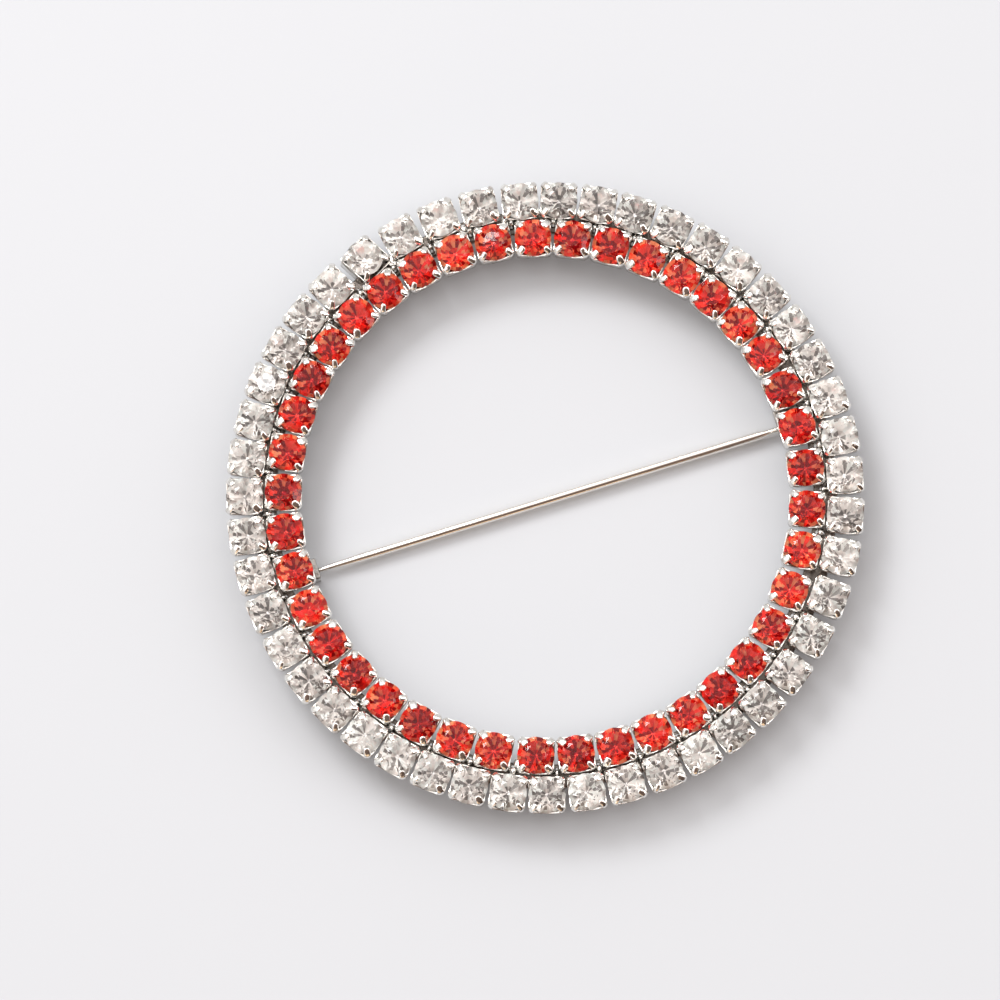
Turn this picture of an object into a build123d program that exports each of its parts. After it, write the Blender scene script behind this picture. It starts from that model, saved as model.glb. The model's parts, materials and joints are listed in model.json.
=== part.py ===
from build123d import *
from collections import namedtuple
from math import cos, hypot, pi, radians, sin, sqrt
import os

os.makedirs("parts", exist_ok=True)

# Circle pin brooch, in millimetres, lying on its back: two rows of chatons in square cups round an
# open centre, and a straight pin stem across it. The origin is the ring's centre on the surface that
# the brooch lies on, +Z is the side with the stones and +X runs along the stem towards its hinge.

# Chatons: a table, eight crown facets, a thin girdle and eight pavilion facets
stone_diameter = 3.16
table_diameter = 1.62
crown_height = 0.62
girdle_height = 0.08
pavilion_depth = 1.36
culet_diameter = 0.16
facet_count = 8

# Stamped cups: square, a little wider than the stone, with a pierced floor
cup_margin = 0.07
cup_wall = 0.24
cup_corner_radius = 0.46
cup_floor = 0.30
cup_hole_diameter = 1.00
culet_clearance = 0.06
rim_drop = 0.25

# Corner prongs, bent over the crown
prong_width = 0.75
prong_thickness = 0.26
prong_reach = 0.32
prong_tip_height = 0.20
prong_shoulder = 0.12
prong_root = 0.30
stone_clearance = 0.03

# Rows: the cups of a row almost touch at their inner edges, and its two ends leave a seam
red_count = 41
cup_gap = 0.04
row_gap = 0.16
red_seam_gap = 0.40
clear_seam_gap = 0.45
red_seam_angle = 246.9
clear_seam_angle = 105.3

# Frame wire behind the cups, flattened, between the two rows of floor holes
frame_wire_width = 2.20
frame_wire_thickness = 0.60
cup_sink = 0.25

# The clear row's first cup was soldered on a little turned and leaning
end_cup_turn = 8.0
end_cup_lean = 12.0
end_cup_shift = 0.30

# Pin stem: a tapered wire, off the ring's centre line, with an eye at its root
stem_offset = -0.10
stem_root_diameter = 0.84
stem_end_diameter = 0.80
point_length = 5.40
point_diameter = 0.10
eye_diameter = 1.50
eye_thickness = 0.84
point_past_edge = 0.75

# Hinge rivet, its bracket and the running gaps
rivet_diameter = 0.66
rivet_head_diameter = 1.10
rivet_head_height = 0.28
rivet_seat_gap = 0.02
eye_bore_clearance = 0.05
eye_side_clearance = 0.06
eye_roof_clearance = 0.12
ear_thickness = 0.50
ear_diameter = 1.70
hinge_from_edge = 1.95
bracket_length = 3.80
bracket_width = 3.00
bracket_plate = 0.38
solder_overlap = 0.05

# Catch: a plain block with a bore for the stem's point and a mouth that faces the way it swings
catch_length = 2.00
catch_width = 1.90
catch_bore_diameter = 1.00
catch_mouth = 0.80
catch_peek = 0.45
catch_plate_length = 4.60

# Places along a row: share of the row, and how far its cups have slid there as a share of one pitch
Slide = namedtuple("Slide", "row_share pitch_share")
clear_slides = [
    Slide(0.00, 0.15),
    Slide(0.10, 0.09),
    Slide(0.15, 0.00),
    Slide(0.26, -0.01),
    Slide(0.40, -0.22),
    Slide(0.54, -0.28),
    Slide(0.63, 0.01),
    Slide(0.80, 0.04),
    Slide(0.92, -0.06),
    Slide(1.00, 0.14),
]
red_slides = [
    Slide(0.00, -0.12),
    Slide(0.15, -0.15),
    Slide(0.30, 0.15),
    Slide(0.35, 0.15),
    Slide(0.48, -0.03),
    Slide(0.62, -0.02),
    Slide(0.72, -0.12),
    Slide(1.00, -0.05),
]

# Sizes that follow
stone_radius = stone_diameter / 2
table_radius = table_diameter / 2
cup_side = stone_diameter + 2 * cup_margin
cup_inner_side = cup_side - 2 * cup_wall

red_inner_edge = (red_count * (cup_side + cup_gap) + red_seam_gap) / (2 * pi)
red_radius = red_inner_edge + cup_side / 2
clear_inner_edge = red_inner_edge + cup_side + row_gap
clear_radius = clear_inner_edge + cup_side / 2
clear_count = int((2 * pi * clear_inner_edge - clear_seam_gap) / (cup_side + cup_gap))
frame_wire_radius = (red_radius + clear_radius) / 2

stem_height = ear_diameter / 2
plate_bottom = stem_height + eye_diameter / 2 + eye_roof_clearance
wire_bottom = plate_bottom + bracket_plate
cup_bottom = wire_bottom + frame_wire_thickness - cup_sink
pocket_bottom = cup_bottom + cup_floor
culet_z = pocket_bottom + culet_clearance
girdle_bottom = culet_z + pavilion_depth
girdle_top = girdle_bottom + girdle_height
table_z = girdle_top + crown_height
rim_z = girdle_bottom - rim_drop

hinge_x = red_inner_edge + hinge_from_edge
catch_x = -red_inner_edge + catch_peek
point_x = -red_inner_edge - point_past_edge
ear_inside = eye_thickness / 2 + eye_side_clearance
ear_outside = ear_inside + ear_thickness


def slide_at(share, slides):
    """Share of a pitch that the cups have slid at this share of the row, between two table rows."""
    for before, after in zip(slides, slides[1:]):
        if share <= after.row_share:
            step = (share - before.row_share) / (after.row_share - before.row_share)
            return before.pitch_share + step * (after.pitch_share - before.pitch_share)
    return slides[-1].pitch_share


def row_angles(count, inner_edge, seam_gap, seam_angle, slides):
    """Angle of each cup of a row, in degrees, from one side of the seam round to the other."""
    seam = seam_gap / inner_edge * 180 / pi
    pitch = (360 - seam) / count
    first = seam_angle + seam / 2 + pitch / 2
    return [first + pitch * (i + slide_at(i / count, slides)) for i in range(count)]


def cup_places(angles, radius):
    """Where cups stand, local x pointing outwards from the ring's centre."""
    return [Location((radius * cos(radians(a)), radius * sin(radians(a)), 0), (0, 0, a)) for a in angles]


red_angles = row_angles(red_count, red_inner_edge, red_seam_gap, red_seam_angle, red_slides)
red_places = cup_places(red_angles, red_radius)

clear_angles = row_angles(clear_count, clear_inner_edge, clear_seam_gap, clear_seam_angle, clear_slides)
clear_places = cup_places(clear_angles, clear_radius)
leaning = Location((0, -end_cup_shift, cup_bottom), (-end_cup_lean, 0, end_cup_turn))
clear_places[0] = clear_places[0] * leaning * Location((0, 0, -cup_bottom))


# One stone, standing where the stone of a cup at the origin stands
with BuildPart() as stone:
    with BuildSketch(Plane.XY.offset(girdle_bottom)) as girdle_outline:
        RegularPolygon(stone_radius, facet_count, major_radius=False, rotation=180 / facet_count)
    extrude(amount=girdle_height)
    with BuildSketch(Plane.XY.offset(girdle_top)):
        add(girdle_outline.sketch_local)
    with BuildSketch(Plane.XY.offset(table_z)):
        RegularPolygon(table_radius, facet_count, major_radius=False, rotation=180 / facet_count)
    loft(ruled=True)
    with BuildSketch(Plane.XY.offset(culet_z)):
        RegularPolygon(culet_diameter / 2, facet_count, major_radius=False, rotation=180 / facet_count)
    with BuildSketch(Plane.XY.offset(girdle_bottom)):
        add(girdle_outline.sketch_local)
    loft(ruled=True)


# One prong, at the cup's corner: its profile stands on the cup's diagonal
corner_reach = (cup_side / 2 - cup_corner_radius) * sqrt(2) + cup_corner_radius
post_inside = corner_reach - prong_thickness
crown_slope = crown_height / (stone_radius - table_radius)
clearance_above = stone_clearance * hypot(1, crown_slope)
tip_reach = stone_radius - prong_reach


def claw_underside(reach):
    """Height just above the crown at this distance from the stone's centre."""
    return girdle_top + (stone_radius - reach) * crown_slope + clearance_above


tip_top = claw_underside(tip_reach) + prong_tip_height
diagonal = Plane(origin=(0, 0, 0), x_dir=(1, 1, 0), z_dir=(1, -1, 0))
with BuildPart() as prong:
    with BuildSketch(diagonal):
        with BuildLine():
            Polyline(
                (post_inside, rim_z - prong_root),
                (corner_reach + prong_thickness, rim_z - prong_root),
                (corner_reach + prong_thickness, girdle_top),
                (post_inside, tip_top - prong_shoulder),
                (tip_reach, tip_top),
                (tip_reach, claw_underside(tip_reach)),
                (post_inside, claw_underside(post_inside)),
                close=True,
            )
        make_face()
    extrude(amount=prong_width / 2, both=True)


# One cup with its prongs: a larger block, hollowed and then trimmed to the cup's outline
with BuildPart() as cup:
    with BuildSketch(Plane.XY.offset(cup_bottom)):
        Rectangle(cup_side + cup_wall, cup_side + cup_wall)
    extrude(amount=rim_z - cup_bottom)
    with PolarLocations(0, 4):
        add(prong.part)
    with BuildSketch(Plane.XY.offset(pocket_bottom)):
        RectangleRounded(cup_inner_side, cup_inner_side, cup_corner_radius - cup_wall)
    extrude(amount=rim_z - pocket_bottom, mode=Mode.SUBTRACT)
    with BuildSketch(Plane.XY.offset(cup_bottom)):
        Circle(cup_hole_diameter / 2)
    extrude(amount=cup_floor, mode=Mode.SUBTRACT)
    with BuildSketch(Plane.XY.offset(cup_bottom)):
        RectangleRounded(cup_side, cup_side, cup_corner_radius)
    extrude(amount=tip_top - cup_bottom, mode=Mode.INTERSECT)


# The soldered metal: frame wire, hinge bracket, catch and cups
with BuildPart() as setting_ring:
    with BuildSketch(Plane.XY.offset(wire_bottom)):
        Circle(frame_wire_radius + frame_wire_width / 2)
        Circle(frame_wire_radius - frame_wire_width / 2, mode=Mode.SUBTRACT)
    extrude(amount=frame_wire_thickness)

    # Plates of the bracket and the catch, soldered to the frame wire and the red cups
    plate_height = cup_bottom + solder_overlap - plate_bottom
    with BuildSketch(Plane.XY.offset(plate_bottom)):
        with Locations((hinge_x, stem_offset)):
            Rectangle(bracket_length, bracket_width)
        with Locations((catch_x - catch_plate_length / 2, stem_offset)):
            Rectangle(catch_plate_length, catch_width)
    extrude(amount=plate_height)

    # Ears of the bracket, one each side of the stem's eye
    ear_top = plate_bottom + solder_overlap
    for ear_start in (stem_offset + ear_inside, stem_offset - ear_outside):
        with BuildSketch(Plane.XZ.offset(-ear_start - ear_thickness)):
            with Locations((hinge_x, stem_height)):
                Circle(ear_diameter / 2)
                Rectangle(ear_diameter, ear_top - stem_height, align=(Align.CENTER, Align.MIN))
        extrude(amount=ear_thickness)
    with BuildSketch(Plane.XZ.offset(-stem_offset)):
        with Locations((hinge_x, stem_height)):
            Circle(rivet_diameter / 2 + rivet_seat_gap)
    extrude(amount=ear_outside + rivet_head_height, both=True, mode=Mode.SUBTRACT)

    # Catch block, its bore along the stem and its mouth downwards
    with BuildSketch(Plane.YZ.offset(catch_x - catch_length)):
        with Locations((stem_offset, 0)):
            Rectangle(catch_width, plate_bottom + solder_overlap, align=(Align.CENTER, Align.MIN))
        with Locations((stem_offset, stem_height)):
            Circle(catch_bore_diameter / 2, mode=Mode.SUBTRACT)
            Rectangle(catch_mouth, stem_height, align=(Align.CENTER, Align.MAX), mode=Mode.SUBTRACT)
    extrude(amount=catch_length)

    # Cups of both rows, sunk a little into the frame wire
    with Locations(*red_places, *clear_places):
        add(cup.part)

setting_ring.part.label = "setting_ring"
export_step(setting_ring.part, "parts/setting_ring.step")


# The stones of each row
with BuildPart() as red_stones:
    with Locations(*red_places):
        add(stone.part)

red_stones.part.label = "red_stones"
export_step(red_stones.part, "parts/red_stones.step")

with BuildPart() as clear_stones:
    with Locations(*clear_places):
        add(stone.part)

clear_stones.part.label = "clear_stones"
export_step(clear_stones.part, "parts/clear_stones.step")


# Pin stem: the wire is turned about its own line, and its eye stands in the bracket
stem_plane = Plane(origin=(0, stem_offset, stem_height), x_dir=(1, 0, 0), z_dir=(0, -1, 0))
eye_bore = rivet_diameter / 2 + eye_bore_clearance
wire_start = hinge_x - (eye_bore + eye_diameter / 2) / 2
with BuildPart() as pin_stem:
    with BuildSketch(stem_plane):
        with BuildLine():
            Polyline(
                (point_x, 0),
                (wire_start, 0),
                (wire_start, stem_root_diameter / 2),
                (point_x + point_length, stem_end_diameter / 2),
                (point_x, point_diameter / 2),
                close=True,
            )
        make_face()
    revolve(axis=Axis(stem_plane.origin, (1, 0, 0)))
    with BuildSketch(stem_plane):
        with Locations((hinge_x, 0)):
            Circle(eye_diameter / 2)
    extrude(amount=eye_thickness / 2, both=True)
    with BuildSketch(stem_plane):
        with Locations((hinge_x, 0)):
            Circle(eye_bore)
    extrude(amount=stem_root_diameter, both=True, mode=Mode.SUBTRACT)

pin_stem.part.label = "pin_stem"
export_step(pin_stem.part, "parts/pin_stem.step")


# Hinge rivet, with a low head outside each ear
with BuildPart() as hinge_rivet:
    with BuildSketch(stem_plane):
        with Locations((hinge_x, 0)):
            Circle(rivet_diameter / 2)
    extrude(amount=ear_outside + rivet_seat_gap, both=True)
    for head_start in (ear_outside + rivet_seat_gap, -ear_outside - rivet_seat_gap - rivet_head_height):
        with BuildSketch(stem_plane.offset(head_start)):
            with Locations((hinge_x, 0)):
                Circle(rivet_head_diameter / 2)
        extrude(amount=rivet_head_height)

hinge_rivet.part.label = "hinge_rivet"
export_step(hinge_rivet.part, "parts/hinge_rivet.step")

print("outer diameter", round(2 * (clear_radius + cup_side / 2), 2), "height", round(table_z, 2))
print("rows", red_count, clear_count, "radii", round(red_radius, 2), round(clear_radius, 2))
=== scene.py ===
import bmesh
import bpy
import json
from math import atan2, cos, degrees, hypot, pi, radians, sin
from mathutils import Matrix, Vector
from random import Random


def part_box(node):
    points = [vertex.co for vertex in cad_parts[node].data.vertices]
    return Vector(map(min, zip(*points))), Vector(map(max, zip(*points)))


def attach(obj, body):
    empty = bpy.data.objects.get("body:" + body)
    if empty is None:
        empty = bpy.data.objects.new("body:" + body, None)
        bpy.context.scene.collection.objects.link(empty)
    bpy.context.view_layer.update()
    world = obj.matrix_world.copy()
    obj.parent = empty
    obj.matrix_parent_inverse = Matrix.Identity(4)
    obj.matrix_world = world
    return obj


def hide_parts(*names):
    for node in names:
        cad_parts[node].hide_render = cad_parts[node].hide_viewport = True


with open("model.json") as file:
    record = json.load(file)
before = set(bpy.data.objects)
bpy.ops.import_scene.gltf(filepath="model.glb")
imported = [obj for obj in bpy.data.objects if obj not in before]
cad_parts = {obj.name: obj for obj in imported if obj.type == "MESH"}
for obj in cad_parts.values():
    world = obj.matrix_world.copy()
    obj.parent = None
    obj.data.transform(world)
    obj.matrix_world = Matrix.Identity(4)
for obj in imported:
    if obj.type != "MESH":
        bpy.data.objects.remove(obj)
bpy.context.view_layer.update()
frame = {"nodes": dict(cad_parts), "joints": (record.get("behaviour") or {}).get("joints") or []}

# Pieces are shaped in millimetres and brought to the frame's metres when they are placed
perMetre = 1000
toMetres = Matrix.Scale(1 / perMetre, 4)
chance = Random(41)

# In millimetres: how near to a cutting plane a point counts as on it, and the room that is left
# when points are selected by a height or a width
onPlane = 0.00001
slack = 0.01


# Small helpers for making and editing pieces

def pick(*pieces):
    bpy.ops.object.select_all(action="DESELECT")
    for piece in pieces:
        piece.select_set(True)
    bpy.context.view_layer.objects.active = pieces[0]


def named(name):
    piece = bpy.context.active_object
    piece.name = name
    piece.data.name = name
    return piece


def shaped(name, scale=(1, 1, 1)):
    piece = named(name)
    piece.scale = scale
    bpy.ops.object.transform_apply()
    return piece


def joined(pieces, name):
    pick(*pieces)
    if len(pieces) > 1:
        bpy.ops.object.join()
    return named(name)


def editing(piece):
    pick(piece)
    bpy.ops.object.mode_set(mode="EDIT")
    bpy.ops.mesh.select_all(action="DESELECT")


def doneEditing():
    bpy.ops.object.mode_set(mode="OBJECT")


def selectAll():
    bpy.ops.mesh.select_all(action="SELECT")


def selectWhere(piece, kind, wanted):
    shape = bmesh.from_edit_mesh(piece.data)
    bpy.ops.mesh.select_all(action="DESELECT")
    modes = [kind == mode for mode in ("verts", "edges", "faces")]
    bpy.context.tool_settings.mesh_select_mode = modes
    for item in getattr(shape, kind):
        item.select = wanted(item)
    if kind == "verts":
        shape.select_flush_mode()
    bmesh.update_edit_mesh(piece.data)


def selectPoints(piece, wanted):
    selectWhere(piece, "verts", lambda point: wanted(point.co))


def selectEdges(piece, wanted):
    selectWhere(piece, "edges", lambda edge: wanted(edge.verts[0].co, edge.verts[1].co))


def selectTop(piece, leastUp=0.9):
    selectWhere(piece, "faces", lambda face: face.normal.z > leastUp)


def splitAll(place, normal, **settings):
    selectAll()
    bpy.ops.mesh.bisect(plane_co=place, plane_no=normal, threshold=onPlane, **settings)


def applied(piece, kind, **settings):
    pick(piece)
    modifier = piece.modifiers.new(kind.title(), kind)
    for name, value in settings.items():
        setattr(modifier, name, value)
    bpy.ops.object.modifier_apply(modifier=modifier.name)


def edgesRounded(piece, rounding):
    applied(
        piece,
        "BEVEL",
        width=rounding["width"],
        segments=rounding["steps"],
        limit_method="ANGLE",
        angle_limit=radians(rounding["fromAngle"]),
    )


def cutOrJoin(piece, tool, operation):
    applied(piece, "BOOLEAN", object=tool, operation=operation, solver="EXACT")
    bpy.data.objects.remove(tool)


def smoothEdges(piece, angle):
    pick(piece)
    bpy.ops.object.shade_smooth_by_angle(angle=radians(angle))


def dress(piece, *materials):
    piece.data.materials.clear()
    for material in materials:
        piece.data.materials.append(material)


# Small helpers for node trees: an input is fed by another node's socket or by a value

def feed(tree, node, inputs):
    for label, source in inputs.items():
        if isinstance(source, bpy.types.NodeSocket):
            tree.links.new(source, node.inputs[label])
        else:
            node.inputs[label].default_value = source


def built(tree, kind, inputs=None, **settings):
    node = tree.nodes.new("ShaderNode" + kind)
    for name, value in settings.items():
        setattr(node, name, value)
    feed(tree, node, inputs or {})
    return node


def noise(tree, **inputs):
    return built(tree, "TexNoise", inputs).outputs["Fac"]


def ranged(tree, value, start=(0, 1), end=(0, 1), **settings):
    inputs = {
        "Value": value,
        "From Min": start[0],
        "From Max": start[1],
        "To Min": end[0],
        "To Max": end[1],
    }
    return built(tree, "MapRange", inputs, **settings).outputs["Result"]


def mixed(tree, share, first, second):
    inputs = {"Factor": share, "A": first, "B": second}
    return built(tree, "Mix", inputs, data_type="RGBA").outputs["Result"]


def newMaterial(name):
    material = bpy.data.materials.new(name)
    material.use_nodes = True
    tree = material.node_tree
    return material, tree, tree.nodes["Principled BSDF"]


def objectPlace(tree):
    return built(tree, "TexCoord").outputs["Object"]


def newGroup(name, inputs, outputs):
    group = bpy.data.node_groups.new(name, "ShaderNodeTree")
    for way, sockets in (("INPUT", inputs), ("OUTPUT", outputs)):
        for label, kind in sockets.items():
            group.interface.new_socket(label, in_out=way, socket_type="NodeSocket" + kind)
    start = group.nodes.new("NodeGroupInput")
    end = group.nodes.new("NodeGroupOutput")
    return group, start.outputs, end


# Plating: one colour low down and one higher up, which on some metals carries painted shade and a
# painted reflection; stained and dull in patches, with small dents

platingLook = {
    "patchScale": 900,
    "patchDetail": 3,
    "stainStart": 0.54,
    "stainFull": 0.74,
    "stainMost": 0.6,
    "stainDull": 0.3,
    "dentScale": 1900,
    "dentDepth": 0.0001,
}


def makePlatingGroup():
    look = platingLook
    inputs = {
        "Place": "Vector",
        "Upper": "Color",
        "Lower": "Color",
        "Stain": "Color",
        "Low": "Float",
        "High": "Float",
        "Polish": "Float",
    }
    outputs = {"Color": "Color", "Roughness": "Float", "Height": "Float"}
    group, given, result = newGroup("plating", inputs, outputs)
    place = given["Place"]
    patches = noise(group, Vector=place, Scale=look["patchScale"], Detail=look["patchDetail"])
    dents = noise(group, Vector=place, Scale=look["dentScale"])
    parts = built(group, "SeparateXYZ", {"Vector": place}).outputs
    height = ranged(group, parts["Z"], (given["Low"], given["High"]))
    wall = mixed(group, height, given["Lower"], given["Upper"])
    stains = ranged(group, patches, (look["stainStart"], look["stainFull"]), (0, look["stainMost"]))
    dull = {0: stains, 1: look["stainDull"], 2: given["Polish"]}
    feed(group, result, {
        "Color": mixed(group, stains, wall, given["Stain"]),
        "Roughness": built(group, "Math", dull, operation="MULTIPLY_ADD").outputs["Value"],
        "Height": dents,
    })
    return group


platingGroup = makePlatingGroup()


def platedMetal(name, look):
    material, tree, shader = newMaterial(name)
    drawn = built(tree, "Mapping", {"Vector": objectPlace(tree), "Scale": look["grain"]})
    inputs = {"Place": drawn.outputs["Vector"]}
    for label in ("Upper", "Lower", "Stain", "Low", "High", "Polish"):
        inputs[label] = look[label.lower()]
    plating = built(tree, "Group", inputs, node_tree=platingGroup).outputs
    bump = built(tree, "Bump", {
        "Strength": look["dents"],
        "Distance": platingLook["dentDepth"],
        "Height": plating["Height"],
    })
    feed(tree, shader, {
        "Base Color": plating["Color"],
        "Roughness": plating["Roughness"],
        "Normal": bump.outputs["Normal"],
        "Metallic": 1,
    })
    return material


# Foil behind a stone: each facet's painted light and shade picks its colour, from deep over middle to
# bright

foilLook = {
    "deepToMiddle": (0.12, 0.42),
    "middleToBright": (0.62, 0.90),
    "crinkleScale": 2500,
    "roughness": (0.26, 0.34),
}


def makeFoilGroup():
    look = foilLook
    inputs = {"Place": "Vector", "Deep": "Color", "Middle": "Color", "Bright": "Color"}
    group, given, result = newGroup("foil", inputs, {"Color": "Color", "Roughness": "Float"})
    # Each facet's painted light and shade picks the foil colour
    tone = built(group, "Attribute", attribute_name="facetTone").outputs["Fac"]
    lower = mixed(group, ranged(group, tone, look["deepToMiddle"]), given["Deep"], given["Middle"])
    crinkle = noise(group, Vector=given["Place"], Scale=look["crinkleScale"])
    feed(group, result, {
        "Color": mixed(group, ranged(group, tone, look["middleToBright"]), lower, given["Bright"]),
        "Roughness": ranged(group, crinkle, end=look["roughness"]),
    })
    return group


foilGroup = makeFoilGroup()


def foilBack(name, look):
    material, tree, shader = newMaterial(name)
    inputs = {
        "Place": objectPlace(tree),
        "Deep": look["deep"],
        "Middle": look["middle"],
        "Bright": look["bright"],
    }
    foil = built(tree, "Group", inputs, node_tree=foilGroup).outputs
    feed(tree, shader, {"Base Color": foil["Color"], "Roughness": foil["Roughness"], "Metallic": 1})
    return material


# Glass with a thin film of dust that dulls it in places

filmLook = {"scale": 1500, "start": 0.55, "full": 0.8, "roughness": 0.06}


def cutGlass(name, look):
    material, tree, shader = newMaterial(name)
    dust = noise(tree, Vector=objectPlace(tree), Scale=filmLook["scale"])
    film = ranged(tree, dust, (filmLook["start"], filmLook["full"]), (0, filmLook["roughness"]))
    feed(tree, shader, {
        "Base Color": look["tint"],
        "Roughness": film,
        "Transmission Weight": 1,
        "IOR": look["bending"],
    })
    return material


# The two kinds of stone: deep, middle and bright are foil colours of painted shade and light, and lift
# is how much brighter the painted light of the foil is

stoneLooks = {
    "red": {
        "tint": (1.0, 0.75, 0.71, 1),
        "bending": 1.46,
        "deep": (0.33, 0.001, 0.012, 1),
        "middle": (0.96, 0.095, 0.072, 1),
        "bright": (1.0, 0.72, 0.46, 1),
        "lift": 0,
    },
    "clear": {
        "tint": (1.0, 0.985, 0.98, 1),
        "bending": 1.56,
        "deep": (0.26, 0.24, 0.23, 1),
        "middle": (1.0, 0.955, 0.925, 1),
        "bright": (0.98, 1.0, 0.98, 1),
        "lift": 0.12,
    },
}

print("stage: materials")
# Cups: the lower colour is painted shade, darker low on the walls and prongs where the cups stand close
# together; the upper colour is the plating
cupMetal = platedMetal("cupMetal", {
    "upper": (0.86, 0.84, 0.81, 1),
    "lower": (0.62, 0.585, 0.54, 1),
    "stain": (0.36, 0.30, 0.25, 1),
    "low": 0.0030,
    "high": 0.0046,
    "polish": 0.10,
    "grain": (1, 1, 1),
    "dents": 0.7,
})
# Back: the upper colour is painted shade, near black on the top of the frame wire between the two rows;
# the lower colour is the plating
backMetal = platedMetal("backMetal", {
    "upper": (0.13, 0.112, 0.10, 1),
    "lower": (0.72, 0.70, 0.67, 1),
    "stain": (0.24, 0.21, 0.19, 1),
    "low": 0.0022,
    "high": 0.00262,
    "polish": 0.22,
    "grain": (1, 1, 1),
    "dents": 0.6,
})
solderMetal = platedMetal("solderMetal", {
    "upper": (0.90, 0.89, 0.87, 1),
    "lower": (0.50, 0.46, 0.41, 1),
    "stain": (0.55, 0.51, 0.46, 1),
    "low": 0.0024,
    "high": 0.0029,
    "polish": 0.16,
    "grain": (1, 1, 1),
    "dents": 0.8,
})
# Stem: the lower colour is a painted warm reflection, gold along the lower side of the wire; the upper
# colour is the plating
stemMetal = platedMetal("stemMetal", {
    "upper": (0.93, 0.90, 0.85, 1),
    "lower": (0.74, 0.60, 0.42, 1),
    "stain": (0.78, 0.72, 0.64, 1),
    "low": 0.0005,
    "high": 0.0010,
    "polish": 0.10,
    "grain": (0.06, 1, 1),
    "dents": 0.12,
})
redGlass = cutGlass("redGlass", stoneLooks["red"])
clearGlass = cutGlass("clearGlass", stoneLooks["clear"])
redFoil = foilBack("redFoil", stoneLooks["red"])
clearFoil = foilBack("clearFoil", stoneLooks["clear"])


# Places of the stones, read from the loose stones of a CAD node: culet, outward direction and axis

cadStone = {"corners": 8, "weld": 1e-6}


def looseStones(node):
    shape = bmesh.new()
    shape.from_mesh(frame["nodes"][node].data)
    bmesh.ops.remove_doubles(shape, verts=shape.verts, dist=cadStone["weld"])
    left = set(shape.verts)
    stones = []
    for start in shape.verts:
        if start not in left:
            continue
        left.remove(start)
        reached = [start]
        points = []
        while reached:
            point = reached.pop()
            points.append(point.co.copy())
            for edge in point.link_edges:
                other = edge.other_vert(point)
                if other in left:
                    left.remove(other)
                    reached.append(other)
        stones.append(points)
    shape.free()
    return stones


def middle(points):
    return sum(points, Vector()) / len(points)


def stonePlaces(node):
    places = []
    for points in looseStones(node):
        points.sort(key=lambda point: point.z)
        culet = middle(points[:cadStone["corners"]])
        table = points[-cadStone["corners"]:]
        axis = (middle(table) - culet).normalized()
        away = Vector((culet.x, culet.y, 0))
        table.sort(key=lambda point: point.dot(away))
        outward = (table[-1] + table[-2]) / 2 - middle(table)
        outward = (outward - axis * outward.dot(axis)).normalized()
        side = axis.cross(outward)
        turn = Matrix((outward, side, axis)).transposed().to_4x4()
        places.append(Matrix.Translation(culet) @ turn @ toMetres)
    places.sort(key=lambda place: atan2(place.translation.y, place.translation.x))
    return places


# Cut stones: ground from a round blank, facet by facet. A facet with a tilt over 90 faces down

stoneCut = {
    "girdleRadius": 1.66,
    "girdleBottom": 1.36,
    "girdleTop": 1.43,
    "tableHeight": 2.06,
    "tableRadius": 0.80,
    "culetHeight": 0.05,
    "blankSides": 32,
    "mains": {"first": 0, "count": 8, "tilt": 41},
    "stars": {"first": 22.5, "count": 8, "tilt": 24},
    "breaks": {"first": 11.25, "count": 16, "tilt": 46},
    "pavilions": {"first": 0, "count": 8, "tilt": 180 - 41.5},
    "halves": {"first": 11.25, "count": 16, "tilt": 180 - 43.2},
    "culet": {"first": 0, "count": 1, "tilt": 180},
}

# Painted light and shade of the foil, from 0 deep shade to 1 bright light, in rings of patches round
# the culet, which swing as they go round: a painted dark heart and bright and dark wedges. Each patch
# is scattered by up to scatter, and each whole stone by up to scatter divided by wholeStonePart. A face
# is foiled if the height of its normal is under lowest
foilTones = {
    "rings": [
        {"top": 0.38, "tone": 0.22, "swing": 0.10},
        {"top": 0.86, "tone": 0.46, "swing": 0.30},
        {"top": 2.00, "tone": 0.70, "swing": -0.42},
    ],
    "lines": 4,
    "swings": 8,
    "scatter": 0.40,
    "wholeStonePart": 3,
    "lowest": -0.2,
}


def grind(facets, radius, height):
    tilt = radians(facets["tilt"])
    for i in range(facets["count"]):
        angle = radians(facets["first"] + 360 * i / facets["count"])
        outward = Vector((cos(angle), sin(angle), 0))
        normal = outward * sin(tilt) + Vector((0, 0, cos(tilt)))
        place = outward * radius + Vector((0, 0, height))
        splitAll(place, normal, use_fill=True, clear_outer=True)


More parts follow.
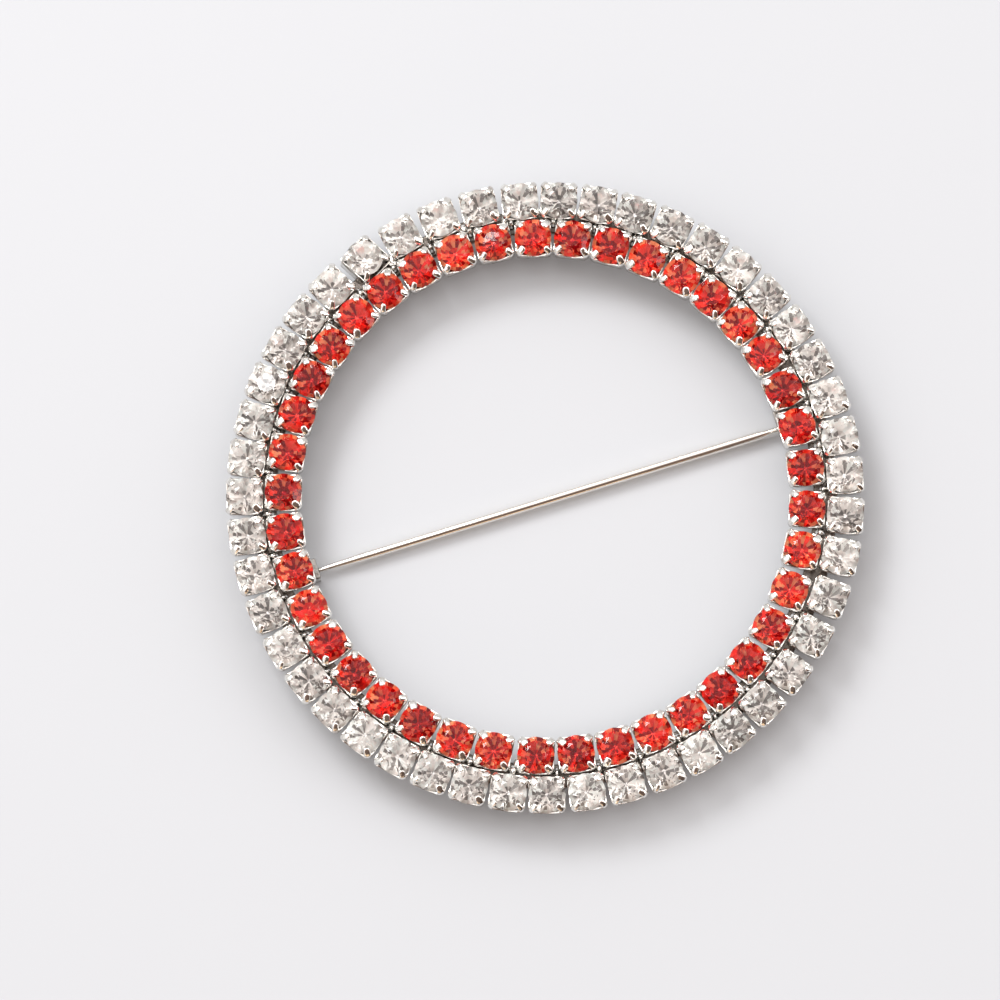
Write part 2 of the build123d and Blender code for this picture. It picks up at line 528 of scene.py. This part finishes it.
def makeStone():
    cut = stoneCut
    rings = foilTones["rings"]
    bpy.ops.mesh.primitive_cylinder_add(
        vertices=cut["blankSides"],
        radius=cut["girdleRadius"],
        depth=cut["tableHeight"],
        location=(0, 0, cut["tableHeight"] / 2),
    )
    stone = shaped("stoneTemplate")
    editing(stone)
    tableCorner = cut["tableRadius"] / cos(pi / cut["mains"]["count"])
    grind(cut["mains"], tableCorner, cut["tableHeight"])
    grind(cut["stars"], cut["tableRadius"], cut["tableHeight"])
    grind(cut["breaks"], cut["girdleRadius"], cut["girdleTop"])
    grind(cut["pavilions"], cut["girdleRadius"], cut["girdleBottom"])
    grind(cut["halves"], cut["girdleRadius"], cut["girdleBottom"])
    grind(cut["culet"], 0, cut["culetHeight"])
    for i in range(foilTones["lines"]):
        angle = radians(180 * i / foilTones["lines"])
        splitAll((0, 0, 0), (cos(angle), sin(angle), 0))
    for ring in rings[:-1]:
        splitAll((0, 0, ring["top"]), (0, 0, 1))
    doneEditing()
    # Each facet gets its painted light and shade from its ring and its angle round the culet
    tones = stone.data.attributes.new("facetTone", "FLOAT", "FACE").data
    for face in stone.data.polygons:
        ring = next((ring for ring in rings if face.center.z < ring["top"]), rings[-1])
        around = atan2(face.center.y, face.center.x)
        tones[face.index].value = ring["tone"] + ring["swing"] * sin(foilTones["swings"] * around)
    return stone


# The lift is added to the painted light that the template's facets have, so the stones with no lift
# come first
def foiled(stone, glass, foil, lift):
    dress(stone, glass, foil)
    for face in stone.data.polygons:
        face.material_index = 0 if face.normal.z > foilTones["lowest"] else 1
    for tone in stone.data.attributes["facetTone"].data:
        tone.value += lift
    return stone


# Stamped cup: square with rounded corners, walls that dip between the prongs, pierced floor

cupShape = {
    "side": 3.30,
    "cornerRadius": 0.46,
    "cornerSteps": 4,
    "wall": 0.22,
    "floor": 0.30,
    "bottom": -0.36,
    "rim": 1.16,
    "taper": 0.97,
    "bottomRounding": 0.22,
    "bottomSteps": 2,
    "rimRounding": {"width": 0.05, "steps": 2, "fromAngle": 50},
    "rimDip": 0.34,
    "dipHalf": 0.30,
    "dipEnd": 0.72,
    "holeRadius": 0.50,
    "holeSides": 20,
    "holeDepth": 2,
    "smoothAngle": 42,
}

prongShape = {
    "base": {"reach": 1.94, "height": 0.50, "lean": 0, "width": 0.62},
    "baseDepth": 0.2,
    "sections": [
        {"reach": 2.00, "height": 1.16, "lean": 0, "width": 0.64},
        {"reach": 2.05, "height": 1.44, "lean": 10, "width": 0.66},
        {"reach": 1.96, "height": 1.66, "lean": 36, "width": 0.66},
        {"reach": 1.62, "height": 1.86, "lean": 56, "width": 0.66},
        {"reach": 1.24, "height": 2.04, "lean": 62, "width": 0.60},
    ],
    "thick": 0.30,
    "smoothing": 2,
}

# How wide each of the four prongs is spread, and how far it is left open
cupKinds = {
    "cupA": {"spreads": (1.00, 0.86, 1.12, 0.94), "opens": (0.00, 0.10, -0.04, 0.04)},
    "cupB": {"spreads": (0.88, 1.06, 0.96, 1.18), "opens": (0.08, 0.00, 0.14, -0.05)},
    "cupC": {"spreads": (1.10, 0.92, 0.84, 1.02), "opens": (-0.05, 0.06, 0.02, 0.12)},
}

# The end cup of the clear row: its walls stand up round the stone, lower on the side of the red row,
# and its two outer prongs aren't pressed down
endCup = {
    "angle": 110,
    "turn": -10,
    "inward": 0.14,
    "shape": {
        "side": 3.40,
        "cornerRadius": 0.30,
        "wall": 0.13,
        "rim": 1.44,
        "rimDip": 0.03,
    },
    "openSide": {"lowered": 0.50, "belowRim": 0.1, "inWall": 0.02},
    "spreads": (0.90, 0.90, 0.95, 1.00),
    "opens": (0.26, 0.05, 0.05, 0.30),
}


def makeCupBody(cup):
    height = cup["rim"] - cup["bottom"]
    bpy.ops.mesh.primitive_cube_add(size=1, location=(0, 0, cup["bottom"] + height / 2))
    body = shaped("cupBody", (cup["side"], cup["side"], height))
    editing(body)
    selectEdges(body, lambda a, b: abs(a.z - b.z) > height / 2)
    bpy.ops.mesh.bevel(offset=cup["cornerRadius"], segments=cup["cornerSteps"], affect="EDGES")
    nearBottom = cup["bottom"] + slack
    selectPoints(body, lambda point: point.z < nearBottom)
    smaller = (cup["taper"], cup["taper"], 1)
    bpy.ops.transform.resize(value=smaller, center_override=(0, 0, cup["bottom"]))
    selectEdges(body, lambda a, b: a.z < nearBottom and b.z < nearBottom)
    bpy.ops.mesh.bevel(offset=cup["bottomRounding"], segments=cup["bottomSteps"], affect="EDGES")
    selectTop(body)
    bpy.ops.mesh.inset(thickness=cup["wall"])
    down = (0, 0, cup["floor"] - height)
    bpy.ops.mesh.extrude_region_move(TRANSFORM_OT_translate={"value": down})
    for place in (cup["dipHalf"], cup["dipEnd"]):
        for side in (-1, 1):
            for along in (Vector((1, 0, 0)), Vector((0, 1, 0))):
                splitAll(along * place * side, along)
    inside = cup["side"] / 2 - cup["wall"] - slack

    def onRimMiddle(point):
        nearMiddle = min(abs(point.x), abs(point.y)) < cup["dipHalf"] + slack
        onWall = max(abs(point.x), abs(point.y)) > inside
        return point.z > cup["rim"] - slack and nearMiddle and onWall

    selectPoints(body, onRimMiddle)
    bpy.ops.transform.translate(value=(0, 0, -cup["rimDip"]))
    doneEditing()
    edgesRounded(body, cup["rimRounding"])
    bpy.ops.mesh.primitive_cylinder_add(
        vertices=cup["holeSides"],
        radius=cup["holeRadius"],
        depth=cup["holeDepth"],
        location=(0, 0, cup["bottom"]),
    )
    cutOrJoin(body, named("cupHole"), "DIFFERENCE")
    return body


def makeProng(turn, spread, opened):
    shape = prongShape
    base = shape["base"]
    sections = shape["sections"]
    centre = (base["reach"], 0, base["height"] - shape["baseDepth"] / 2)
    bpy.ops.mesh.primitive_cube_add(size=1, location=centre)
    prong = shaped("prong", (shape["thick"], base["width"], shape["baseDepth"]))
    editing(prong)
    selectTop(prong)
    last = base
    for i, section in enumerate(sections):
        section = dict(section, reach=section["reach"] + opened * i / len(sections))
        centre = Vector((section["reach"], 0, section["height"]))
        step = centre - Vector((last["reach"], 0, last["height"]))
        bpy.ops.mesh.extrude_region_move(TRANSFORM_OT_translate={"value": step})
        leaned = radians(section["lean"] - last["lean"])
        bpy.ops.transform.rotate(value=leaned, orient_axis="Y", center_override=centre)
        wider = section["width"] / last["width"]
        bpy.ops.transform.resize(value=(1, wider, 1), center_override=centre)
        last = section
    doneEditing()
    applied(prong, "SUBSURF", levels=shape["smoothing"], render_levels=shape["smoothing"])
    widened = Matrix.Diagonal((1, spread, 1, 1))
    prong.data.transform(Matrix.Rotation(radians(turn), 4, "Z") @ widened)
    return prong


def makeCup(name, kind):
    shape = dict(cupShape, **kind.get("shape", {}))
    cup = makeCupBody(shape)
    if "openSide" in kind:
        side = kind["openSide"]
        edge = shape["side"] / 2 - shape["wall"] - side["inWall"]
        lowest = shape["rim"] - side["belowRim"]
        editing(cup)
        selectPoints(cup, lambda point: point.z > lowest and point.x < -edge)
        bpy.ops.transform.translate(value=(0, 0, -side["lowered"]))
        doneEditing()
    for i, (spread, opened) in enumerate(zip(kind["spreads"], kind["opens"])):
        cutOrJoin(cup, makeProng(45 + 90 * i, spread, opened), "UNION")
    smoothEdges(cup, shape["smoothAngle"])
    dress(cup, cupMetal)
    cup.name = name
    return cup


# Rows: each stone and cup is a copy with its own mesh, set on its CAD place

rowLook = {"stoneLean": 2.2, "stoneTurn": 22.5, "cupLean": 1.2}


def leaning(most, axis):
    return Matrix.Rotation(radians(chance.uniform(-most, most)), 4, axis)


def setRow(template, places, lean, turns):
    scatter = foilTones["scatter"]
    copies = []
    for place in places:
        mesh = template.data.copy()
        tilt = leaning(lean, "X") @ leaning(lean, "Y")
        mesh.transform(place @ tilt @ Matrix.Rotation(radians(turns()), 4, "Z"))
        # Painted facet light, scattered for each stone and for each facet
        if "facetTone" in mesh.attributes:
            shift = chance.uniform(-scatter, scatter) / foilTones["wholeStonePart"]
            for tone in mesh.attributes["facetTone"].data:
                shifted = tone.value + shift + chance.uniform(-scatter, scatter)
                tone.value = min(1, max(0, shifted))
        copy = bpy.data.objects.new(template.name, mesh)
        bpy.context.scene.collection.objects.link(copy)
        copies.append(copy)
    return copies


def stoneTurn():
    return chance.uniform(-rowLook["stoneTurn"], rowLook["stoneTurn"])


def quarterTurn():
    return 90 * chance.randrange(4)


print("stage: rows of stones and cups")
redPlaces = stonePlaces("red_stones")
clearPlaces = stonePlaces("clear_stones")
stoneTemplate = makeStone()
cupTemplates = [makeCup(name, kind) for name, kind in cupKinds.items()]


def rowOfStones(places, glass, foil, look, name):
    template = foiled(stoneTemplate, glass, foil, look["lift"])
    return joined(setRow(template, places, rowLook["stoneLean"], stoneTurn), name)


def rowOfCups(places):
    cups = []
    for i, template in enumerate(cupTemplates):
        cups += setRow(template, places[i::len(cupTemplates)], rowLook["cupLean"], quarterTurn)
    return cups


def angleOff(place):
    outward = place.translation.to_2d().normalized()
    angle = radians(endCup["angle"])
    return -outward.dot(Vector((cos(angle), sin(angle))))


redStones = rowOfStones(redPlaces, redGlass, redFoil, stoneLooks["red"], "redStones")
clearStones = rowOfStones(clearPlaces, clearGlass, clearFoil, stoneLooks["clear"], "clearStones")
redCups = joined(rowOfCups(redPlaces), "redCups")
endPlace = min(clearPlaces, key=angleOff)
endTemplate = makeCup("cupEnd", endCup)
others = [place for place in clearPlaces if place is not endPlace]
movedEnd = endPlace @ Matrix.Translation((-endCup["inward"], 0, 0))
clearCups = rowOfCups(others) + setRow(endTemplate, [movedEnd], 0, lambda: endCup["turn"])
clearCups = joined(clearCups, "clearCups")
for template in [stoneTemplate, endTemplate] + cupTemplates:
    bpy.data.objects.remove(template)


# Back: frame wire, hinge bracket and catch, soldered together

wireShape = {
    "width": 2.20,
    "thick": 0.60,
    "bottom": 2.10,
    "rounding": 0.24,
    "roundingSteps": 3,
    "steps": 128,
    "weld": 0.001,
}

bracketShape = {
    "length": 3.80,
    "width": 3.00,
    "bottom": 1.72,
    "top": 2.50,
    "rounding": 0.10,
    "earInside": 0.48,
    "earThick": 0.50,
    "earRadius": 0.85,
    "earRounding": {"width": 0.06, "steps": 2, "fromAngle": 40},
    "holeRadius": 0.35,
    "holeLength": 6,
    "rootOverlap": 0.2,
}

catchShape = {
    "pastPoint": 1.20,
    "length": 2.00,
    "plateLength": 4.60,
    "width": 1.90,
    "boreRadius": 0.50,
    "mouth": 0.80,
    "cutPast": 1,
    "rounding": 0.10,
    "rootOverlap": 0.2,
}

backFinish = {"blockSteps": 3, "barSides": 32, "decimals": 4, "smoothAngle": 35}

hinge = Vector(frame["joints"][0]["pos_m"]) * perMetre
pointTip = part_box("pin_stem")[0][0] * perMetre


# Faces that lie flush are joined without slivers only if their points agree to the last digit
def snapped(piece):
    for point in piece.data.vertices:
        point.co = [round(value, backFinish["decimals"]) for value in point.co]
    return piece


def block(low, high, rounding, name):
    low, high = Vector(low), Vector(high)
    bpy.ops.mesh.primitive_cube_add(size=1, location=(low + high) / 2)
    piece = shaped(name, high - low)
    if rounding:
        applied(piece, "BEVEL", width=rounding, segments=backFinish["blockSteps"])
    return snapped(piece)


def crossBar(centre, radius, length, axis, name):
    bpy.ops.mesh.primitive_cylinder_add(
        vertices=backFinish["barSides"],
        radius=radius,
        depth=length,
        location=centre,
        rotation=(pi / 2, 0, 0) if axis == "Y" else (0, pi / 2, 0),
    )
    return snapped(shaped(name))


def wireRadius():
    spots = [place.translation for place in redPlaces + clearPlaces]
    radii = [hypot(spot.x, spot.y) * perMetre for spot in spots]
    return (min(radii) + max(radii)) / 2


def makeWire():
    wire = wireShape
    centre = (wireRadius(), 0, wire["bottom"] + wire["thick"] / 2)
    bpy.ops.mesh.primitive_plane_add(size=1, location=centre, rotation=(pi / 2, 0, 0))
    ring = shaped("frameWire", (wire["width"], wire["thick"], 1))
    editing(ring)
    selectAll()
    bpy.ops.mesh.bevel(
        offset=wire["rounding"], segments=wire["roundingSteps"], affect="VERTICES"
    )
    selectAll()
    bpy.ops.mesh.delete(type="ONLY_FACE")
    selectAll()
    bpy.ops.mesh.spin(steps=wire["steps"], angle=2 * pi, center=(0, 0, 0), axis=(0, 0, 1))
    selectAll()
    bpy.ops.mesh.remove_doubles(threshold=wire["weld"])
    bpy.ops.mesh.normals_make_consistent(inside=False)
    doneEditing()
    return ring


def makeBracket():
    bracket = bracketShape
    halfLength = bracket["length"] / 2
    halfWidth = bracket["width"] / 2
    plate = block(
        (hinge.x - halfLength, hinge.y - halfWidth, bracket["bottom"]),
        (hinge.x + halfLength, hinge.y + halfWidth, bracket["top"]),
        bracket["rounding"],
        "bracketPlate",
    )
    radius = bracket["earRadius"]
    thick = bracket["earThick"]
    rootTop = bracket["bottom"] + bracket["rootOverlap"]
    for side in (-1, 1):
        middleY = hinge.y + side * (bracket["earInside"] + thick / 2)
        ear = crossBar((hinge.x, middleY, hinge.z), radius, thick, "Y", "ear")
        root = block(
            (hinge.x - radius, middleY - thick / 2, hinge.z),
            (hinge.x + radius, middleY + thick / 2, rootTop),
            0,
            "earRoot",
        )
        cutOrJoin(ear, root, "UNION")
        edgesRounded(ear, bracket["earRounding"])
        cutOrJoin(plate, ear, "UNION")
    hole = crossBar(tuple(hinge), bracket["holeRadius"], bracket["holeLength"], "Y", "rivetHole")
    cutOrJoin(plate, hole, "DIFFERENCE")
    return plate


def makeCatch():
    latch = catchShape
    right = pointTip + latch["pastPoint"]
    left = right - latch["length"]
    halfWidth = latch["width"] / 2
    past = latch["cutPast"]
    tongue = block(
        (right - latch["plateLength"], hinge.y - halfWidth, bracketShape["bottom"]),
        (right, hinge.y + halfWidth, bracketShape["top"]),
        latch["rounding"],
        "catchPlate",
    )
    body = block(
        (left, hinge.y - halfWidth, 0),
        (right, hinge.y + halfWidth, bracketShape["bottom"] + latch["rootOverlap"]),
        latch["rounding"],
        "catchBody",
    )
    cutOrJoin(tongue, body, "UNION")
    centre = (right - latch["length"] / 2, hinge.y, hinge.z)
    bore = crossBar(centre, latch["boreRadius"], latch["length"] + past, "X", "catchBore")
    cutOrJoin(tongue, bore, "DIFFERENCE")
    mouth = block(
        (left - past, hinge.y - latch["mouth"] / 2, -past),
        (right + past, hinge.y + latch["mouth"] / 2, hinge.z),
        0,
        "catchMouth",
    )
    cutOrJoin(tongue, mouth, "DIFFERENCE")
    return tongue


def makeBack():
    back = makeWire()
    cutOrJoin(back, makeBracket(), "UNION")
    cutOrJoin(back, makeCatch(), "UNION")
    back.data.transform(toMetres)
    smoothEdges(back, backFinish["smoothAngle"])
    return joined([back], "ringBack")


# Solder on the frame wire: drops where cups stand wide apart, and small saddles between the two rows.
# Most gaps of the red row have a saddle, of a random size and a little inward of the wire's middle

drops = [
    {"angle": 81.0, "radius": 25.35, "size": (0.62, 0.48, 0.42)},
    {"angle": 89.6, "radius": 25.50, "size": (0.55, 0.66, 0.46)},
    {"angle": 105.6, "radius": 25.60, "size": (0.78, 0.62, 0.50)},
    {"angle": 107.2, "radius": 26.55, "size": (0.60, 0.34, 0.40)},
    {"angle": 112.4, "radius": 25.30, "size": (0.50, 0.50, 0.40)},
    {"angle": 229.0, "radius": 25.40, "size": (0.48, 0.60, 0.40)},
    {"angle": 246.6, "radius": 24.40, "size": (0.70, 0.34, 0.42)},
    {"angle": 318.0, "radius": 25.45, "size": (0.52, 0.44, 0.40)},
]

saddles = {
    "share": 0.9,
    "across": (0.42, 0.62),
    "along": (0.36, 0.56),
    "high": (0.92, 1.20),
    "inward": (0.0, 0.34),
}

solderShape = {"rounds": 3, "flatBelow": 0.3, "uneven": 0.035, "unevenSeed": 7, "smoothAngle": 60}


def saddleDrops():
    made = []
    for first, second in zip(redPlaces, redPlaces[1:] + redPlaces[:1]):
        between = first.translation + second.translation
        angle = degrees(atan2(between.y, between.x))
        size = tuple(chance.uniform(*saddles[side]) for side in ("across", "along", "high"))
        radius = wireRadius() - chance.uniform(*saddles["inward"])
        if chance.random() < saddles["share"]:
            made.append({"angle": angle, "radius": radius, "size": size})
    return made


def makeSolder():
    shape = solderShape
    top = wireShape["bottom"] + wireShape["thick"]
    pieces = []
    for drop in drops + saddleDrops():
        angle = radians(drop["angle"])
        bpy.ops.mesh.primitive_ico_sphere_add(
            subdivisions=shape["rounds"],
            location=(drop["radius"] * cos(angle), drop["radius"] * sin(angle), top),
            rotation=(0, 0, angle),
        )
        pieces.append(shaped("solderDrop", drop["size"]))
    solder = joined(pieces, "solder")
    editing(solder)
    selectPoints(solder, lambda point: point.z < top)
    bpy.ops.transform.resize(value=(1, 1, shape["flatBelow"]), center_override=(0, 0, top))
    selectAll()
    bpy.ops.transform.vertex_random(offset=shape["uneven"], seed=shape["unevenSeed"])
    doneEditing()
    solder.data.transform(toMetres)
    smoothEdges(solder, shape["smoothAngle"])
    return solder


print("stage: back of the ring")
ringBack = makeBack()
solder = makeSolder()


# Pin stem: a drawn wire ground to a point, nipped at its neck, with its eye on the rivet

stemShape = {
    "sides": 24,
    "point": [
        {"fromTip": 0.00, "radius": 0.05},
        {"fromTip": 0.25, "radius": 0.12},
        {"fromTip": 2.40, "radius": 0.26},
        {"fromTip": 5.40, "radius": 0.40},
    ],
    "root": [
        {"fromHinge": 3.60, "radius": 0.42, "nip": 1.00},
        {"fromHinge": 2.90, "radius": 0.41, "nip": 0.76},
        {"fromHinge": 1.30, "radius": 0.40, "nip": 0.72},
        {"fromHinge": 0.55, "radius": 0.41, "nip": 0.86},
    ],
    "eyeRadius": 0.75,
    "eyeThick": 0.84,
    "eyeRounding": {"width": 0.12, "steps": 3, "fromAngle": 60},
    "boreRadius": 0.38,
    "boreLength": 3,
    "smoothAngle": 40,
}


def makeStem():
    stem = stemShape
    rings = [dict(part, x=pointTip + part["fromTip"], nip=1) for part in stem["point"]]
    rings += [dict(part, x=hinge.x - part["fromHinge"]) for part in stem["root"]]
    last = rings[0]
    bpy.ops.mesh.primitive_circle_add(
        vertices=stem["sides"],
        radius=last["radius"],
        fill_type="NGON",
        location=(last["x"], hinge.y, hinge.z),
        rotation=(0, pi / 2, 0),
    )
    wire = shaped("stemWire")
    editing(wire)
    selectAll()
    for ring in rings[1:]:
        step = (ring["x"] - last["x"], 0, 0)
        bpy.ops.mesh.extrude_region_move(TRANSFORM_OT_translate={"value": step})
        wider = ring["radius"] / last["radius"]
        flatter = wider * ring["nip"] / last["nip"]
        centre = (ring["x"], hinge.y, hinge.z)
        bpy.ops.transform.resize(value=(1, flatter, wider), center_override=centre)
        last = ring
    selectAll()
    bpy.ops.mesh.normals_make_consistent(inside=False)
    doneEditing()
    eye = crossBar(tuple(hinge), stem["eyeRadius"], stem["eyeThick"], "Y", "stemEye")
    edgesRounded(eye, stem["eyeRounding"])
    cutOrJoin(wire, eye, "UNION")
    bore = crossBar(tuple(hinge), stem["boreRadius"], stem["boreLength"], "Y", "stemBore")
    cutOrJoin(wire, bore, "DIFFERENCE")
    wire.data.transform(toMetres)
    smoothEdges(wire, stem["smoothAngle"])
    return joined([wire], "pinStem")


print("stage: pin stem")
pinStem = makeStem()


dress(ringBack, backMetal)
dress(solder, solderMetal)
dress(pinStem, stemMetal)
dress(frame["nodes"]["hinge_rivet"], backMetal)

for piece in (redStones, clearStones, redCups, clearCups, ringBack, solder):
    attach(piece, "ring")
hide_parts("red_stones")
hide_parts("clear_stones")
for piece in (redCups, clearCups, ringBack, solder):
    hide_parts("setting_ring")
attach(pinStem, "stem")
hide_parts("pin_stem")


# Studio: pale floor, soft light from the upper left, camera at the photo's angle

view = {
    "azimuth": 342.8,
    "elevation": 81.5,
    "distance": 0.43,
    "pixelsPerMetre": 11150,
    "imageSize": 1000,
    "ringCentre": (545.3, 494.4),
    "stoneHeight": 0.0042,
    "sensor": 36,
}

azimuth = radians(view["azimuth"])
elevation = radians(view["elevation"])
toRight = Vector((cos(azimuth), sin(azimuth), 0))
farSide = Vector((-sin(azimuth), cos(azimuth), 0))
toCamera = Vector((sin(azimuth) * cos(elevation), -cos(azimuth) * cos(elevation), sin(elevation)))
toTop = toCamera.cross(toRight)


def seenPlace(spot):
    return toRight * spot["right"] + farSide * spot["far"] + Vector((0, 0, spot["up"]))


def makeCamera():
    pixels = [centre - view["imageSize"] / 2 for centre in view["ringCentre"]]
    across, down = [count / view["pixelsPerMetre"] for count in pixels]
    target = Vector((0, 0, view["stoneHeight"])) - toRight * across + toTop * down
    turn = Matrix((toRight, toTop, toCamera)).transposed().to_4x4()
    bpy.ops.object.camera_add()
    camera = named("photoCamera")
    camera.matrix_world = Matrix.Translation(target + toCamera * view["distance"]) @ turn
    camera.data.sensor_width = view["sensor"]
    camera.data.lens = view["sensor"] * view["distance"] * view["pixelsPerMetre"] / view["imageSize"]
    bpy.context.scene.camera = camera


floorLook = {"size": 4, "colour": (0.53, 0.54, 0.565, 1), "roughness": 0.6}


def makeFloor():
    bpy.ops.mesh.primitive_plane_add(size=floorLook["size"], location=(0, 0, 0))
    floor = named("floor")
    material, tree, shader = newMaterial("paleFloor")
    feed(tree, shader, {"Base Color": floorLook["colour"], "Roughness": floorLook["roughness"]})
    dress(floor, material)


# Lights stand so far to the right, to the far side and up, in metres, and aim at the ring's centre
lights = [
    {
        "name": "window",
        "place": {"right": -0.34, "far": 0.42, "up": 0.55},
        "size": (0.32, 0.26),
        "power": 3.2,
        "colour": (1, 1, 1),
    },
    {
        "name": "sideCard",
        "place": {"right": 0.55, "far": 0, "up": 0.35},
        "size": (0.20, 0.50),
        "power": 0.7,
        "colour": (1, 1, 1),
    },
    {
        "name": "warmCard",
        "place": {"right": 0, "far": -0.52, "up": 0.17},
        "size": (0.50, 0.16),
        "power": 0.25,
        "colour": (1.0, 0.72, 0.46),
    },
    {
        "name": "glint",
        "place": {"right": -0.10, "far": 0.22, "up": 0.80},
        "size": (0.07, 0.07),
        "power": 0.17,
        "colour": (1, 1, 1),
    },
]


def makeLight(look):
    bpy.ops.object.light_add(type="AREA")
    light = named(look["name"])
    light.data.shape = "RECTANGLE"
    light.data.size, light.data.size_y = look["size"]
    light.data.energy = look["power"]
    light.data.color = look["colour"]
    light.location = seenPlace(look["place"])
    light.rotation_euler = light.location.to_track_quat("Z", "Y").to_euler()


# The sky brightens from its horizon to its dome. It is shaded in a cone round the zenith, where the
# camera hangs, and in a cone on the near side, with a warm tint. A cone fades in between its two angles
studio = {
    "horizon": 0.75,
    "dome": 1.95,
    "fade": (0.25, 0.80),
    "tint": (1.0, 0.985, 0.97, 1),
    "cameraCone": (26, 6),
    "cameraShade": 0.52,
    "nearPlace": {"right": 0.42, "far": -0.74, "up": 0.60},
    "nearCone": (54, 34),
    "nearShade": 0.10,
    "nearTint": (1.0, 0.64, 0.50, 1),
}


def makeWorld():
    world = bpy.data.worlds.new("studio")
    bpy.context.scene.world = world
    world.use_nodes = True
    tree = world.node_tree
    direction = built(tree, "TexCoord").outputs["Generated"]
    up = Vector((0, 0, 1))

    def towards(aim, start, end):
        dot = built(tree, "VectorMath", {0: direction, 1: aim}, operation="DOT_PRODUCT")
        value = dot.outputs["Value"]
        return ranged(tree, value, start, end, interpolation_type="SMOOTHSTEP")

    def cone(aim, angles, shade):
        return towards(aim, [cos(radians(angle)) for angle in angles], (1.0, shade))

    def times(a, b):
        return built(tree, "Math", {0: a, 1: b}, operation="MULTIPLY").outputs["Value"]

    sky = towards(up, studio["fade"], (studio["horizon"], studio["dome"]))
    behindCamera = cone(up, studio["cameraCone"], studio["cameraShade"])
    nearAim = seenPlace(studio["nearPlace"]).normalized()
    nearSide = cone(nearAim, studio["nearCone"], studio["nearShade"])
    feed(tree, tree.nodes["Background"], {
        "Color": mixed(tree, nearSide, studio["nearTint"], studio["tint"]),
        "Strength": times(times(sky, behindCamera), nearSide),
    })


print("stage: studio and camera")
makeCamera()
makeFloor()
makeWorld()
for look in lights:
    makeLight(look)
bpy.context.scene.view_settings.view_transform = "Standard"
